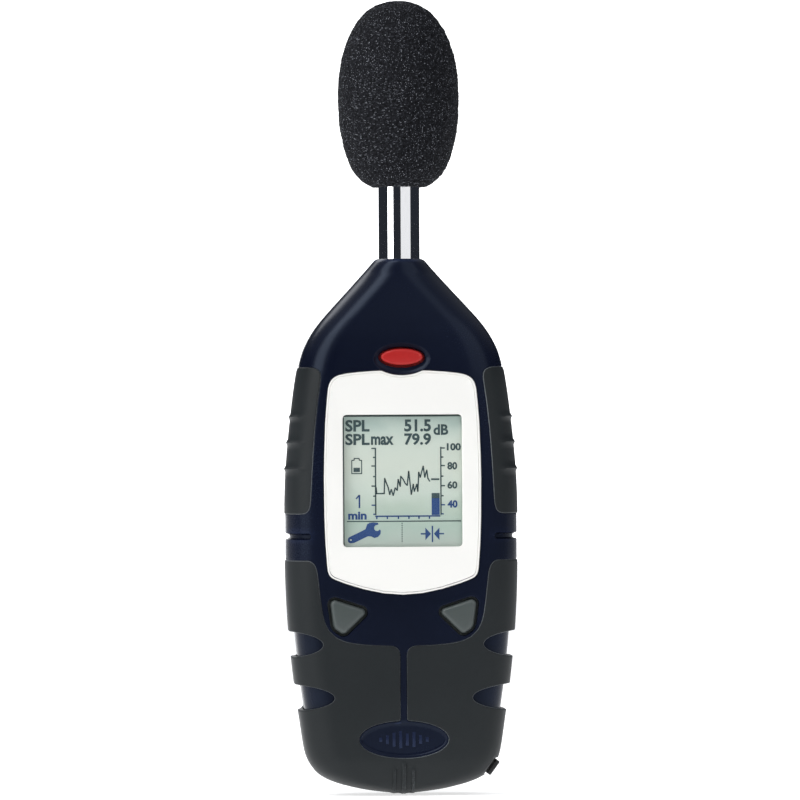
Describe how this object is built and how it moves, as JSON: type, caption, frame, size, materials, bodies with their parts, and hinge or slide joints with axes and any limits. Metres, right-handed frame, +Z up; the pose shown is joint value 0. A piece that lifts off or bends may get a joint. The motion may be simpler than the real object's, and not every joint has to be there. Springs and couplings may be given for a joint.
{
  "type": "sound level meter",
  "caption": "Upright hand-held sound level meter: tapered casing with soft grips and a display, a slim metal microphone tube on top and a slip-on foam windscreen.",
  "frame": {"origin": "on the microphone axis, at the height of the lowest point of the rounded foot of the casing", "axes": "+Z up along the microphone axis; the display faces -Y and the battery cover +Y; +X is to the right of a reader facing the display"},
  "size_m": [0.072, 0.0378, 0.2459],
  "materials": {
    "casing": "dark navy injection-moulded ABS, fine satin texture",
    "grip": "matt dark grey over-moulded soft rubber",
    "bezel": "smooth white plastic",
    "window": "clear hard-coated window",
    "lcd": "backlit liquid crystal glass, pale green-grey",
    "start_key": "satin red silicone key",
    "soft_key": "satin mid-grey key",
    "black_rubber": "matt black rubber",
    "foam": "black open-cell polyurethane foam",
    "tube_chrome": "polished nickel-chrome tube",
    "steel": "plain nickel-plated or stainless steel",
    "brass": "turned brass",
    "board": "green glass-epoxy circuit board",
    "moulded_part": "black moulded component plastic",
    "flex": "amber polyimide flexible circuit",
    "cell": "plain printed sleeve on a steel can"
  },
  "bodies": {
    "case": {"front_housing": "casing", "rear_housing": "casing", "seal_left": "black_rubber", "seal_right": "black_rubber", "lower_grip_front": "grip", "lower_grip_rear": "grip", "upper_grip_front_right": "grip", "upper_grip_rear_right": "grip", "upper_grip_front_left": "grip", "upper_grip_rear_left": "grip", "display_bezel": "bezel", "display_window": "window", "lcd_panel": "lcd", "lcd_backlight": "bezel", "lcd_ribbon": "flex", "main_board": "board", "processor_chip": "moulded_part", "ribbon_connector": "moulded_part", "start_switch_body": "moulded_part", "left_switch_body": "moulded_part", "right_switch_body": "moulded_part", "start_key_mat": "black_rubber", "soft_key_mat": "black_rubber", "preamp_tube": "tube_chrome", "preamp_bush": "moulded_part", "preamp_o_ring": "black_rubber", "preamp_board": "board", "preamp_flex": "flex", "preamp_contact": "brass", "mic_capsule": "steel", "mic_backplate": "brass", "mic_diaphragm": "steel", "mic_grid": "steel", "battery_cell_1": "cell", "battery_cell_2": "cell", "battery_cell_3": "cell", "battery_spring_terminal": "steel", "battery_bridge_top": "steel", "battery_bridge_bottom": "steel", "battery_plate_terminal": "steel", "tripod_bush": "brass", "case_screw_1": "steel", "case_screw_2": "steel", "case_screw_3": "steel", "case_screw_4": "steel", "board_screw_1": "steel", "board_screw_2": "steel", "io_board": "board", "usb_socket": "steel", "output_jack": "moulded_part", "port_flap_anchor": "black_rubber"},
    "start_button": {"start_key": "start_key", "start_switch_plunger": "steel"},
    "left_key": {"left_soft_key": "soft_key", "left_switch_plunger": "steel"},
    "right_key": {"right_soft_key": "soft_key", "right_switch_plunger": "steel"},
    "windscreen_body": {"windscreen": "foam"},
    "battery_cover_body": {"battery_cover": "casing"},
    "port_flap_body": {"port_flap": "black_rubber"}
  },
  "joints": [
    {"name": "start_button_press", "type": "slide", "parent": "case", "child": "start_button", "axis": [0, 1, 0], "range_m": [0, 0.0008], "stiffness_N_per_m": 1500, "springref_m": -0.0004},
    {"name": "left_key_press", "type": "slide", "parent": "case", "child": "left_key", "axis": [0, 1, 0], "range_m": [0, 0.0008], "stiffness_N_per_m": 1500, "springref_m": -0.0004},
    {"name": "right_key_press", "type": "slide", "parent": "case", "child": "right_key", "axis": [0, 1, 0], "range_m": [0, 0.0008], "stiffness_N_per_m": 1500, "springref_m": -0.0004},
    {"name": "windscreen_pull", "type": "slide", "parent": "case", "child": "windscreen_body", "axis": [0, 0, 1], "range_m": [0, 0.048]},
    {"name": "battery_cover_open", "type": "hinge", "parent": "case", "child": "battery_cover_body", "pos_m": [0, 0.0152, 0.0148], "axis": [-1, 0, 0], "range_deg": [0, 70]},
    {"name": "port_flap_open", "type": "hinge", "parent": "case", "child": "port_flap_body", "pos_m": [0.02779, 0.00735, 0.00817], "axis": [0.5878, 0, 0.809], "range_deg": [0, 100]}
  ]
}
